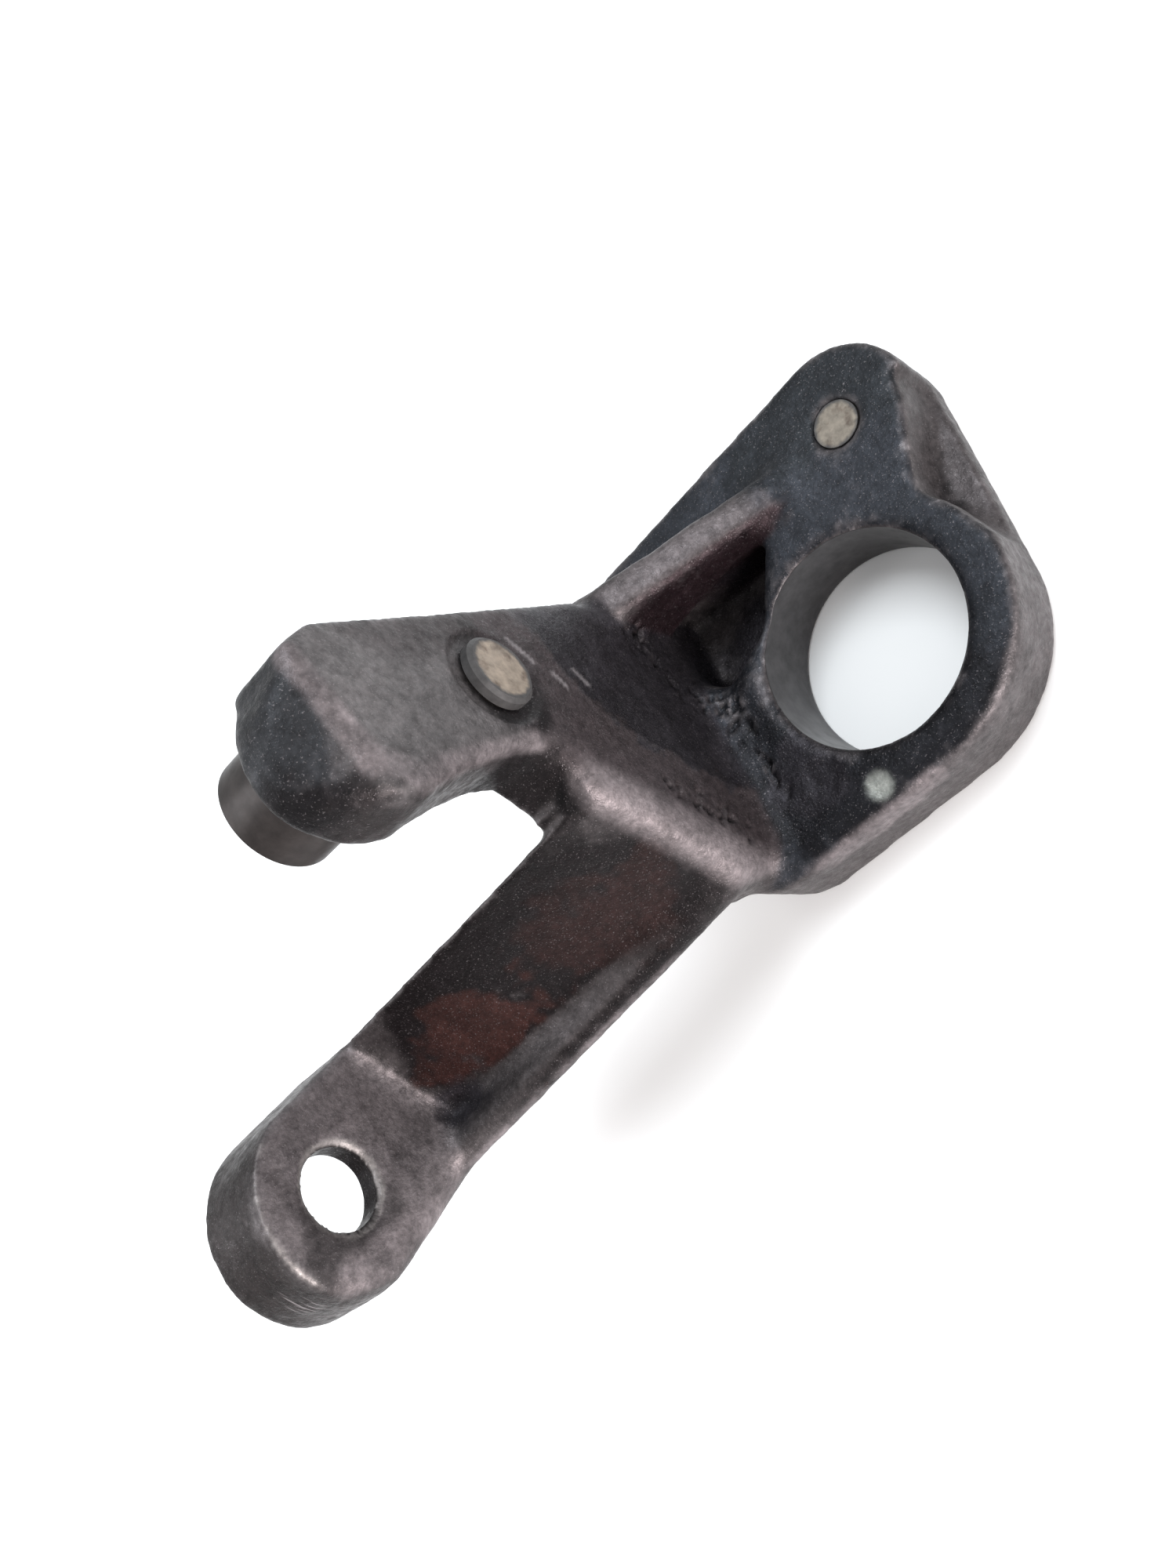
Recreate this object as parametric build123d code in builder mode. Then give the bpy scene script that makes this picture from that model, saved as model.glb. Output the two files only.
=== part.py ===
"""A cast lever bracket: a flange with a bored ring and an ear, an upright wall braced by a rib, a short
arm that carries a stud and a nose pin, and a long arm that ends in a foot with an eye.

Millimetres. The origin is on the bore's axis at the flange's underside and +Z runs up the bore. The wall
stands at the flange's -X side. The short arm goes on up the wall, and the long arm leaves it towards -X.
Points called (y, z) lie in a plane across X, and points called (x, y) in a plane across Z.
"""

import os
from math import cos, hypot, radians, sin

from build123d import *

# Ring and flange
bore_diameter = 28.8
bore_chamfer = 0.6
ring_diameter = 41.2
ring_height = 13.0
flange_thickness = 4.5
flange_high_y = 34.6
flange_low_y = -22.1
flange_high_corner_radius = 6.0
flange_low_corner_radius = 11.0

# Ear
ear_x, ear_y = 12.6, 26.3
ear_radius = 10.9
ear_plug_diameter = 6.4
ear_plug_recess = 0.3

# Notch between the ear and the ring: it turns at the neck, which stands a gap off the ring
neck_angle = 37.5
neck_gap = 1.1
notch_ear_inset = 1.4
notch_ear_step = (4.0, 9.0)
notch_ring_step = (-0.6, -3.0)
notch_ring_inset = 2.0
notch_ring_y = 6.6

# Upright wall and short arm: a plate across X
wall_gap = 3.4
wall_thickness = 11.0
wall_foot_high_y = 28.0
wall_waist = (21.3, 33.6)
wall_foot_low_y = -19.5
wall_foot_corner_y = -14.0
nose_y, nose_z = -2.5, 75.3
nose_radius = 10.0
nose_high_angle = 33.0
nose_low_angle = 196.0
nose_front = (7.6, 80.0)
short_arm_low = (-6.8, 61.8)
short_arm_middle = (-4.5, 55.7)
short_arm_root = (-3.5, 50.5)
crotch = (-7.2, 45.6)
nose_bevel_low = (-10.7, 76.7)
nose_bevel_high = (4.4, 84.0)
nose_bevel_angle = 42.0

# Rib from the ear up to the wall
rib_front_x = 6.0
rib_front_low_y, rib_front_high_y = 22.3, 28.2
rib_wall_low_y, rib_wall_high_y = 18.0, 24.6
rib_rise = 16.5
rib_overlap = 4.0

# Pocket between the ring, the rib and the wall
pocket_ear_corner = (-3.6, 21.6)
pocket_ring_angle = 135.5
pocket_ring_wall = 1.3
pocket_low_inset = 4.5
pocket_low_y = 7.0
pocket_wall_low_y, pocket_wall_high_y = 11.0, 22.2

# Long arm
long_arm_reach = 60.0
arm_thickness = 10.6
arm_root_overlap = 1.0
arm_high_set_back = 6.4
arm_high_depth = 8.3
arm_root_low, arm_root_high = (-20.6, 18.4), (-9.1, 46.1)
arm_end_low, arm_end_high = (-30.4, 23.4), (-13.0, 42.3)
edge_rib_width = 5.5
edge_rib_root_height = 0.5
edge_rib_end_height = 7.2
edge_rib_overlap = 1.5

# Foot
foot_thickness = 13.0
foot_radius = 13.4
foot_offset = (-0.5, -0.5)
eye_y, eye_z = -32.0, 49.8
eye_diameter = 11.4
eye_chamfer = 0.7
eye_web = 4.2
foot_pocket_diameter = 21.0
foot_pocket_low_diameter = 18.0
foot_pocket_step = (4.0, -9.0)

# Stud in the short arm
stud_y, stud_z = 4.8, 55.4
stud_head_diameter = 9.4
stud_head_height = 1.6
stud_head_chamfer = 0.5
stud_shank_diameter = 6.4

# Pin in the nose
nose_pin_diameter = 14.0
nose_pin_length = 8.0
nose_pin_chamfer = 0.8
nose_pin_shank_diameter = 8.0
nose_pin_shank_length = 7.0

ring_radius = ring_diameter / 2
bore_radius = bore_diameter / 2
wall_front_x = -(ring_radius + wall_gap)
wall_back_x = wall_front_x - wall_thickness
foot_front_x = wall_front_x - long_arm_reach
foot_back_x = foot_front_x - foot_thickness
arm_end_x = foot_front_x - eye_web
notch_outer_x = ear_x + 2 * ear_radius
bevel_cutter_size = 3 * nose_radius


def away(start, end, amount):
    """The unit normal on the left of the way from start to end, times amount, as a step."""
    run, rise = end[0] - start[0], end[1] - start[1]
    length = hypot(run, rise)
    return (-rise / length * amount, run / length * amount)


def step(point, offset):
    """A point moved by a step."""
    return (point[0] + offset[0], point[1] + offset[1])


def along(start, end, amount):
    """The point that lies amount from start on the way to end."""
    share = amount / hypot(end[0] - start[0], end[1] - start[1])
    return (start[0] + (end[0] - start[0]) * share, start[1] + (end[1] - start[1]) * share)


def round_bore(radius, angle):
    """The (x, y) point at a radius from the bore's axis and an angle from +X."""
    return (radius * cos(radians(angle)), radius * sin(radians(angle)))


def on_nose(angle):
    """The (y, z) point on the nose's round end at an angle from +Y."""
    return (nose_y + nose_radius * cos(radians(angle)), nose_z + nose_radius * sin(radians(angle)))


def plate_section(low, high):
    """The four corners of the long arm's plate, whose outer face runs from low to high."""
    inner_low = step(low, away(low, high, -arm_thickness))
    inner_high = step(along(high, low, arm_high_set_back), away(low, high, -arm_high_depth))
    return [low, high, inner_high, inner_low]


def edge_rib_section(low, high, height):
    """The four corners of the rib that stands on the outer face along its low edge."""
    outward = away(low, high, height)
    inward = away(low, high, -edge_rib_overlap)
    inner = along(low, high, edge_rib_width)
    return [step(low, outward), step(inner, outward), step(inner, inward), step(low, inward)]


# ------------------------------------------------------------------ bracket_casting
with BuildPart() as bracket_casting:
    # Flange block that holds the ring and the ear
    with BuildSketch(Plane.XY):
        Circle(ring_radius)
        with Locations((ear_x, ear_y)):
            Circle(ear_radius)
        with Locations((wall_back_x + flange_high_corner_radius, flange_high_y - flange_high_corner_radius)):
            Circle(flange_high_corner_radius)
        with Locations((wall_back_x + flange_low_corner_radius, flange_low_y + flange_low_corner_radius)):
            Circle(flange_low_corner_radius)
        make_hull()
    extrude(amount=ring_height)

    # Notch between the ear and the ring, down to the thin flange
    neck = round_bore(ring_radius + neck_gap, neck_angle)
    with BuildSketch(Plane.XY.offset(ring_height)):
        with BuildLine():
            Polyline(
                (notch_outer_x, ear_y),
                (ear_x + ear_radius - notch_ear_inset, ear_y),
                step(neck, notch_ear_step),
                neck,
                step(neck, notch_ring_step),
                (ring_radius - notch_ring_inset, notch_ring_y),
                (ring_radius, 0),
                (notch_outer_x, 0),
                close=True,
            )
        make_face()
    extrude(amount=-(ring_height - flange_thickness), mode=Mode.SUBTRACT)

    # Upright wall and short arm
    with BuildSketch(Plane.YZ.offset(wall_back_x)):
        with BuildLine():
            Polyline(
                (wall_foot_high_y, 0),
                (wall_foot_high_y, ring_height),
                wall_waist,
                nose_front,
                on_nose(nose_high_angle),
                (nose_y, nose_z),
                on_nose(nose_low_angle),
                short_arm_low,
                short_arm_middle,
                short_arm_root,
                crotch,
                step(arm_root_high, (arm_root_overlap, 0)),
                step(arm_root_low, (arm_root_overlap, 0)),
                (wall_foot_low_y, ring_height),
                (wall_foot_corner_y, 0),
                close=True,
            )
        make_face()
        with Locations((nose_y, nose_z)):
            Circle(nose_radius)
        with BuildLine():
            Polyline(nose_bevel_low, nose_bevel_high, nose_front, (nose_y, nose_z), close=True)
        make_face()
    extrude(amount=wall_thickness)

    # Bevel across the nose, from the front face outwards
    bevel_out = away(nose_bevel_low, nose_bevel_high, cos(radians(nose_bevel_angle)))
    bevel_plane = Plane(
        origin=(
            wall_front_x,
            (nose_bevel_low[0] + nose_bevel_high[0]) / 2,
            (nose_bevel_low[1] + nose_bevel_high[1]) / 2,
        ),
        x_dir=(0, nose_bevel_high[0] - nose_bevel_low[0], nose_bevel_high[1] - nose_bevel_low[1]),
        z_dir=(sin(radians(nose_bevel_angle)), bevel_out[0], bevel_out[1]),
    )
    with BuildSketch(bevel_plane):
        Rectangle(bevel_cutter_size, bevel_cutter_size)
    extrude(amount=nose_radius, mode=Mode.SUBTRACT)

    # Rib from the ear up to the wall
    with BuildSketch(Plane.YZ.offset(rib_front_x)):
        with Locations(((rib_front_low_y + rib_front_high_y) / 2, ring_height / 2)):
            Rectangle(rib_front_high_y - rib_front_low_y, ring_height)
    with BuildSketch(Plane.YZ.offset(wall_front_x - rib_overlap)):
        with Locations(((rib_wall_low_y + rib_wall_high_y) / 2, (ring_height + rib_rise) / 2)):
            Rectangle(rib_wall_high_y - rib_wall_low_y, ring_height + rib_rise)
    loft(ruled=True)

    # Long arm's plate
    with BuildSketch(Plane.YZ.offset(wall_front_x)):
        with BuildLine():
            Polyline(*plate_section(arm_root_low, arm_root_high), close=True)
        make_face()
    with BuildSketch(Plane.YZ.offset(arm_end_x)):
        with BuildLine():
            Polyline(*plate_section(arm_end_low, arm_end_high), close=True)
        make_face()
    loft(ruled=True)

    # Rib along the long arm's low edge
    with BuildSketch(Plane.YZ.offset(wall_front_x)):
        with BuildLine():
            Polyline(*edge_rib_section(arm_root_low, arm_root_high, edge_rib_root_height), close=True)
        make_face()
    with BuildSketch(Plane.YZ.offset(arm_end_x)):
        with BuildLine():
            Polyline(*edge_rib_section(arm_end_low, arm_end_high, edge_rib_end_height), close=True)
        make_face()
    loft(ruled=True)

    # Foot: a lug round the eye that reaches down over the arm's end
    with BuildSketch(Plane.YZ.offset(foot_back_x)):
        with Locations(step((eye_y, eye_z), foot_offset)):
            Circle(foot_radius)
        with BuildLine():
            Polyline(*plate_section(arm_end_low, arm_end_high), close=True)
        make_face()
        with BuildLine():
            Polyline(*edge_rib_section(arm_end_low, arm_end_high, edge_rib_end_height), close=True)
        make_face()
        make_hull()
    extrude(amount=foot_thickness)

    # Pocket between the ring, the rib and the wall
    with BuildSketch(Plane.XY.offset(ring_height)):
        with BuildLine():
            Polyline(
                pocket_ear_corner,
                round_bore(bore_radius + pocket_ring_wall, pocket_ring_angle),
                (wall_front_x + pocket_low_inset, pocket_low_y),
                (wall_front_x, pocket_wall_low_y),
                (wall_front_x, pocket_wall_high_y),
                close=True,
            )
        make_face()
    extrude(amount=-(ring_height - flange_thickness), mode=Mode.SUBTRACT)

    # Bore through the ring, with its edge broken at the top
    with BuildSketch(Plane.XY):
        Circle(bore_radius)
    extrude(amount=ring_height, mode=Mode.SUBTRACT)
    with BuildSketch(Plane.XY.offset(ring_height - bore_chamfer)):
        Circle(bore_radius)
    extrude(amount=bore_chamfer, taper=-45, mode=Mode.SUBTRACT)

    # Holes for the fitted pieces
    with BuildSketch(Plane.XY):
        with Locations((ear_x, ear_y)):
            Circle(ear_plug_diameter / 2)
    extrude(amount=ring_height, mode=Mode.SUBTRACT)
    with BuildSketch(Plane.YZ.offset(wall_back_x)):
        with Locations((stud_y, stud_z)):
            Circle(stud_shank_diameter / 2)
    extrude(amount=wall_thickness, mode=Mode.SUBTRACT)
    with BuildSketch(Plane.YZ.offset(wall_back_x)):
        with Locations((nose_y, nose_z)):
            Circle(nose_pin_shank_diameter / 2)
    extrude(amount=nose_pin_shank_length, mode=Mode.SUBTRACT)

    # Eye through the foot's web, and the long pocket behind it, closed all round
    with BuildSketch(Plane.YZ.offset(foot_back_x)):
        with Locations((eye_y, eye_z)):
            Circle(foot_pocket_diameter / 2)
        with Locations(step((eye_y, eye_z), foot_pocket_step)):
            Circle(foot_pocket_low_diameter / 2)
        make_hull()
    extrude(amount=foot_thickness - eye_web, mode=Mode.SUBTRACT)
    with BuildSketch(Plane.YZ.offset(arm_end_x)):
        with Locations((eye_y, eye_z)):
            Circle(eye_diameter / 2)
    extrude(amount=eye_web, mode=Mode.SUBTRACT)
    with BuildSketch(Plane.YZ.offset(foot_front_x - eye_chamfer)):
        with Locations((eye_y, eye_z)):
            Circle(eye_diameter / 2)
    extrude(amount=eye_chamfer, taper=-45, mode=Mode.SUBTRACT)

bracket_casting.part.label = "bracket_casting"

# ------------------------------------------------------------------ ear_plug
with BuildPart() as ear_plug:
    with BuildSketch(Plane.XY):
        with Locations((ear_x, ear_y)):
            Circle(ear_plug_diameter / 2)
    extrude(amount=ring_height - ear_plug_recess)
ear_plug.part.label = "ear_plug"

# ------------------------------------------------------------------ arm_stud
with BuildPart() as arm_stud:
    with BuildSketch(Plane.YZ.offset(wall_back_x)):
        with Locations((stud_y, stud_z)):
            Circle(stud_shank_diameter / 2)
    extrude(amount=wall_thickness)
    with BuildSketch(Plane.YZ.offset(wall_front_x)):
        with Locations((stud_y, stud_z)):
            Circle(stud_head_diameter / 2)
    extrude(amount=stud_head_height)
    chamfer(arm_stud.faces().sort_by(Axis.X)[-1].edges(), length=stud_head_chamfer)
arm_stud.part.label = "arm_stud"

# ------------------------------------------------------------------ nose_pin
with BuildPart() as nose_pin:
    with BuildSketch(Plane.YZ.offset(wall_back_x)):
        with Locations((nose_y, nose_z)):
            Circle(nose_pin_shank_diameter / 2)
    extrude(amount=nose_pin_shank_length)
    with BuildSketch(Plane.YZ.offset(wall_back_x)):
        with Locations((nose_y, nose_z)):
            Circle(nose_pin_diameter / 2)
    extrude(amount=-nose_pin_length)
    chamfer(nose_pin.faces().sort_by(Axis.X)[0].edges(), length=nose_pin_chamfer)
nose_pin.part.label = "nose_pin"

os.makedirs("parts", exist_ok=True)
export_step(bracket_casting.part, "parts/bracket_casting.step")
export_step(ear_plug.part, "parts/ear_plug.step")
export_step(arm_stud.part, "parts/arm_stud.step")
export_step(nose_pin.part, "parts/nose_pin.step")
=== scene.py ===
"""The looks of a cast lever bracket: its rough casting skin, fitted pins, floor, light and camera.

Everything is in metres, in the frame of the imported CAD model: the origin is on the ring's bore
axis at the flange's underside, and +Z runs up the bore.
"""

import logging
from dataclasses import dataclass, field
from enum import Enum
from typing import Optional, Union

import bpy
import numpy as np
from mathutils import Matrix, Vector, noise


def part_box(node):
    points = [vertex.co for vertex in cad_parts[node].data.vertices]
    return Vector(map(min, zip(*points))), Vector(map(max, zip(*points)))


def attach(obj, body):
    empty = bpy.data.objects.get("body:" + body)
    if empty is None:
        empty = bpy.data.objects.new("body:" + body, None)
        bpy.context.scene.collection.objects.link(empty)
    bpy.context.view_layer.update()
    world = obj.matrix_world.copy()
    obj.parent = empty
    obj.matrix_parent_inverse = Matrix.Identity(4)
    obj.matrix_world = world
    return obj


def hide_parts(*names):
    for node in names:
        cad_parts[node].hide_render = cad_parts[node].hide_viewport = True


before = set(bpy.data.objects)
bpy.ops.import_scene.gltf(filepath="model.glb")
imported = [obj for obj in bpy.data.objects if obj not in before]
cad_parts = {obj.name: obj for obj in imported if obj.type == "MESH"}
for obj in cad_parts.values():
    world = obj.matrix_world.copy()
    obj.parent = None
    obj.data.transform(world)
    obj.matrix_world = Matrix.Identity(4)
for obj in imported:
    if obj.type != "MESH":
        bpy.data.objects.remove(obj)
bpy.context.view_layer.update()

LOG = logging.getLogger("bracket")
MM = 0.001
BODY = "root"

Array = np.ndarray
Colour = tuple[float, float, float]
Point = tuple[float, float, float]
Span = tuple[float, float]
Socket = bpy.types.NodeSocket


class Facing(Enum):
    """Which way a surface must look for a patch of paint to lie on it."""

    ANY = (0.0, 0.0, 0.0)
    UP = (0.0, 0.0, 1.0)
    FRONT = (1.0, 0.0, 0.0)
    LOW_SIDE = (0.0, -1.0, 0.0)
    RING_SIDE = (0.6, -0.8, 0.0)


def smooth_step(low: float, high: float, value: Array) -> Array:
    """Eases from 0 at low to 1 at high.

    Args:
        low: The value where the result leaves 0. It may be above high.
        high: The value where the result reaches 1.
        value: The values to ease.

    Returns:
        The eased values, from 0 to 1.
    """
    t = np.clip((value - low) / (high - low), 0.0, 1.0)
    return t * t * (3.0 - 2.0 * t)


def grain(points: Array, size: float, seed: float, octaves: int = 3) -> Array:
    """Gives smooth random values over space.

    Args:
        points: The places, one row each, in metres.
        size: The size of the largest lumps, in metres.
        seed: A shift that makes one pattern differ from another.
        octaves: How many layers of ever finer lumps there are.

    Returns:
        One value for each point, about -1 to 1.
    """
    roughness, finer = 0.6, 2.0
    shift = Vector((seed, 2.7 * seed, -1.3 * seed))
    return np.array(
        [noise.fractal(Vector(p) / size + shift, roughness, finer, octaves) for p in points]
    )


@dataclass(frozen=True)
class Noise:
    """One pattern of smooth random values over the casting.

    Attributes:
        size: The size of its largest lumps, in millimetres.
        seed: A shift that makes it differ from the others.
        octaves: How many layers of ever finer lumps it has.
        depth: How far it lifts the skin, in millimetres.
    """

    size: float
    seed: float
    octaves: int
    depth: float = 0.0

    def at(self, points: Array) -> Array:
        """Gives its values at places in metres, about -1 to 1."""
        return grain(points, self.size * MM, self.seed, self.octaves)

    def lift(self, points: Array) -> Array:
        """Gives how far it lifts the skin at places in metres, in metres."""
        return self.at(points) * self.depth * MM


SWELL = Noise(8, 1.0, 2, 0.12)
PEBBLE = Noise(1.7, 5.0, 2, 0.05)
WANDER = Noise(5, 11.0, 2)
OPEN_PITS = Noise(1.5, 31.0, 2)
ROUGH = Noise(9, 3.0, 4)
FLECK = Noise(1.3, 8.0, 3)
BLOTCH = Noise(3.5, 21.0, 3)

# How far a point moves towards its neighbours in one round, and how often the normals are renewed
PULL_SHARE = 0.5
NORMALS_EVERY = 10


@dataclass
class SkinMesh:
    """A closed mesh held as arrays, so that its points can be moved together.

    Attributes:
        points: The points, one row each, in metres.
        faces: The faces as index rows.
        edges: The edges as pairs of indices.
    """

    points: Array
    faces: list[tuple[int, ...]]
    edges: Array

    @classmethod
    def from_object(cls, source: bpy.types.Object, voxel: float) -> "SkinMesh":
        """Remeshes a solid into small even faces.

        Args:
            source: The solid.
            voxel: The size of the new faces, in metres.

        Returns:
            The remeshed skin.
        """
        copy = source.copy()
        copy.data = source.data.copy()
        bpy.context.scene.collection.objects.link(copy)
        remesh = copy.modifiers.new("even faces", "REMESH")
        remesh.mode = "VOXEL"
        remesh.voxel_size = voxel
        graph = bpy.context.evaluated_depsgraph_get()
        mesh = bpy.data.meshes.new_from_object(copy.evaluated_get(graph))
        mesh.transform(source.matrix_world)
        points = np.empty(len(mesh.vertices) * 3)
        mesh.vertices.foreach_get("co", points)
        edges = np.empty(len(mesh.edges) * 2, dtype=np.int64)
        mesh.edges.foreach_get("vertices", edges)
        faces = [tuple(face.vertices) for face in mesh.polygons]
        bpy.data.objects.remove(copy)
        bpy.data.meshes.remove(mesh)
        return cls(points.reshape(-1, 3), faces, edges.reshape(-1, 2))

    def pull(self, values: Array, edges: Optional[Array] = None) -> Array:
        """Gives the step from each point's value to the mean of its neighbours' values.

        Args:
            values: One row for each point.
            edges: The edges that count, or None for all of them.

        Returns:
            One step for each point, 0 where it has no neighbour.
        """
        edges = self.edges if edges is None else edges
        count = len(self.points)
        total = np.zeros_like(values)
        for a, b in ((0, 1), (1, 0)):
            for k in range(values.shape[1]):
                total[:, k] += np.bincount(edges[:, a], values[edges[:, b], k], count)
        number = np.bincount(edges.ravel(), minlength=count)[:, None]
        return np.where(number > 0, total / np.maximum(number, 1) - values, 0.0)

    def normals(self) -> Array:
        """Finds which way the surface looks at each point.

        Returns:
            One unit normal for each point.
        """
        shortest = 1e-12
        quads = np.array([face[:4] if len(face) > 3 else (*face, face[0]) for face in self.faces])
        p = self.points
        across = np.cross(p[quads[:, 2]] - p[quads[:, 0]], p[quads[:, 3]] - p[quads[:, 1]])
        total = np.zeros_like(p)
        for k in range(4):
            for axis in range(3):
                total[:, axis] += np.bincount(quads[:, k], across[:, axis], len(p))
        return total / np.maximum(np.linalg.norm(total, axis=1), shortest)[:, None]

    def relax(self, weight: Array, rounds: int, fill_only: bool = False) -> None:
        """Rounds the mesh by moving each point towards its neighbours.

        Args:
            weight: How far each point may move, from 0 to 1.
            rounds: How many times the points move.
            fill_only: Whether only hollow corners are filled and no edge is worn away.
        """
        edges = self.edges[(weight > 0)[self.edges].any(axis=1)]
        for index in range(rounds):
            move = self.pull(self.points, edges) * PULL_SHARE * weight[:, None]
            if fill_only:
                if index % NORMALS_EVERY == 0:
                    normal = self.normals()
                move *= ((move * normal).sum(axis=1) > 0)[:, None]
            self.points += move

    def crown(self, rounds: int) -> Array:
        """Measures how far each point stands proud of the surface around it.

        Args:
            rounds: How wide an area round the point counts.

        Returns:
            Metres, positive on edges and negative in corners.
        """
        soft = self.points.copy()
        for _ in range(rounds):
            soft += self.pull(soft) * PULL_SHARE
        return ((self.points - soft) * self.normals()).sum(axis=1)


@dataclass(frozen=True)
class Stretch:
    """A straight stretch of the casting along which its surface is worked.

    Attributes:
        start: One end, in millimetres.
        end: The other end, in millimetres.
        reach: How far to each side the work goes, in millimetres.
        rounds: How strongly the surface is worked.
    """

    start: Point
    end: Point
    reach: float
    rounds: int = 0

    def weight(self, points: Array) -> Array:
        """Gives 1 on the stretch and 0 beyond its reach.

        Args:
            points: The places, in metres.

        Returns:
            Values from 0 to 1.
        """
        start, end = np.array(self.start) * MM, np.array(self.end) * MM
        run = end - start
        share = np.clip((points - start) @ run / (run @ run), 0.0, 1.0)
        away = np.linalg.norm(points - start - share[:, None] * run, axis=1) / MM
        outside, inside = 1.2, 0.5
        return smooth_step(outside * self.reach, inside * self.reach, away)


@dataclass(frozen=True)
class Dent:
    """A round hollow or, with a depth below 0, a bump.

    Attributes:
        centre: Its middle, in millimetres.
        reach: Its radius, in millimetres.
        depth: Its depth, in millimetres.
    """

    centre: Point
    reach: float
    depth: float

    def weight(self, points: Array) -> Array:
        """Gives 1 in the middle and 0 beyond the rim.

        Args:
            points: The places, in metres.

        Returns:
            Values from 0 to 1.
        """
        bottom = 0.35
        away = np.linalg.norm(points / MM - np.array(self.centre), axis=1)
        return smooth_step(self.reach, bottom * self.reach, away)


@dataclass(frozen=True)
class Patch:
    """A patch of one colour on the casting, with a soft ragged edge.

    Attributes:
        colour: The paint, linear.
        centre: The middle of the patch, in millimetres.
        reach: How far it goes along X, Y and Z, in millimetres.
        facing: Which way the surface must look.
        strength: How much of the colour under it the patch hides.
        ragged: How uneven the edge is, from 0 to 1.
        oil: How oily the patch is, from 0 for dry to 1 for wet.
    """

    colour: Colour
    centre: Point
    reach: Point
    facing: Facing = Facing.ANY
    strength: float = 1.0
    ragged: float = 0.35
    oil: float = 0.0

    def cover(self, points: Array, normal: Array, rough: Array) -> Array:
        """Says how much of the patch lies at each point.

        Args:
            points: The places, in metres.
            normal: The surface's unit normals there.
            rough: A random value at each place, for the ragged edge.

        Returns:
            Values from 0 to 1.
        """
        edge: Span = (1.15, 0.75)
        turned: Span = (0.35, 0.75)
        offset = (points / MM - np.array(self.centre)) / np.array(self.reach)
        inside = smooth_step(*edge, np.linalg.norm(offset, axis=1) + self.ragged * rough)
        if self.facing is not Facing.ANY:
            inside = inside * smooth_step(*turned, normal @ np.array(self.facing.value))
        return inside * self.strength


@dataclass(frozen=True)
class Unevenness:
    """Random values at each point of the skin, which break up its paint.

    Attributes:
        fleck: Fine flecks.
        rough: Coarse clouds.
        blotch: Blotches between the two in size.
    """

    fleck: Array
    rough: Array
    blotch: Array

    def mixed(self, base: Union[float, Array], fleck: float, rough: float, blotch: float) -> Array:
        """Adds shares of the three patterns to a value.

        Args:
            base: The value.
            fleck: The flecks' share.
            rough: The clouds' share.
            blotch: The blotches' share.

        Returns:
            One value for each point.
        """
        return base + fleck * self.fleck + rough * self.rough + blotch * self.blotch


@dataclass(frozen=True)
class CrownCoat:
    """A coat of colour where the skin stands proud or sits deep: wear and painted highlights on
    edges, painted shade in hollows.

    Attributes:
        colour: The colour, linear.
        strength: How much of the colour under it the coat hides.
        span: How far the skin stands proud where the coat starts and where it is full, in
            millimetres. Below 0 it sits deep.
        shares: How much the flecks, the clouds and the blotches break the coat up.
    """

    colour: Colour
    strength: float
    span: Span
    shares: tuple[float, float, float]

    def cover(self, height: Array, uneven: Unevenness) -> Array:
        """Gives how much of the coat lies at each point, for its height in millimetres."""
        return self.strength * smooth_step(*self.span, uneven.mixed(height, *self.shares))


@dataclass
class Coats:
    """The skin's paint, laid one coat over another.

    Attributes:
        layers: One linear colour for each point, and how oily it is there.
    """

    layers: Array

    @classmethod
    def plain(cls, count: int, colour: Colour) -> "Coats":
        """Starts with one dry colour everywhere.

        Args:
            count: How many points there are.
            colour: The colour, linear.

        Returns:
            The first coat.
        """
        layers = np.zeros((count, 4))
        layers[:, :3] = colour
        return cls(layers)

    def lay(self, colour: Colour, cover: Array, oil: float = 0.0) -> None:
        """Lays a colour over what is there.

        Args:
            colour: The colour, linear.
            cover: How much of it lies at each point, from 0 to 1.
            oil: How oily it is.
        """
        share = cover[:, None]
        self.layers[:] = self.layers * (1 - share) + np.array((*colour, oil)) * share

    def shade(self, tone: Array) -> None:
        """Makes the colour lighter or darker by a tone for each point.

        Args:
            tone: The factor, 1 for no change.
        """
        least = 0.25
        shaded = self.layers[:, :3] * np.maximum(tone, least)[:, None]
        self.layers[:, :3] = np.clip(shaded, 0.0, 1.0)


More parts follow.
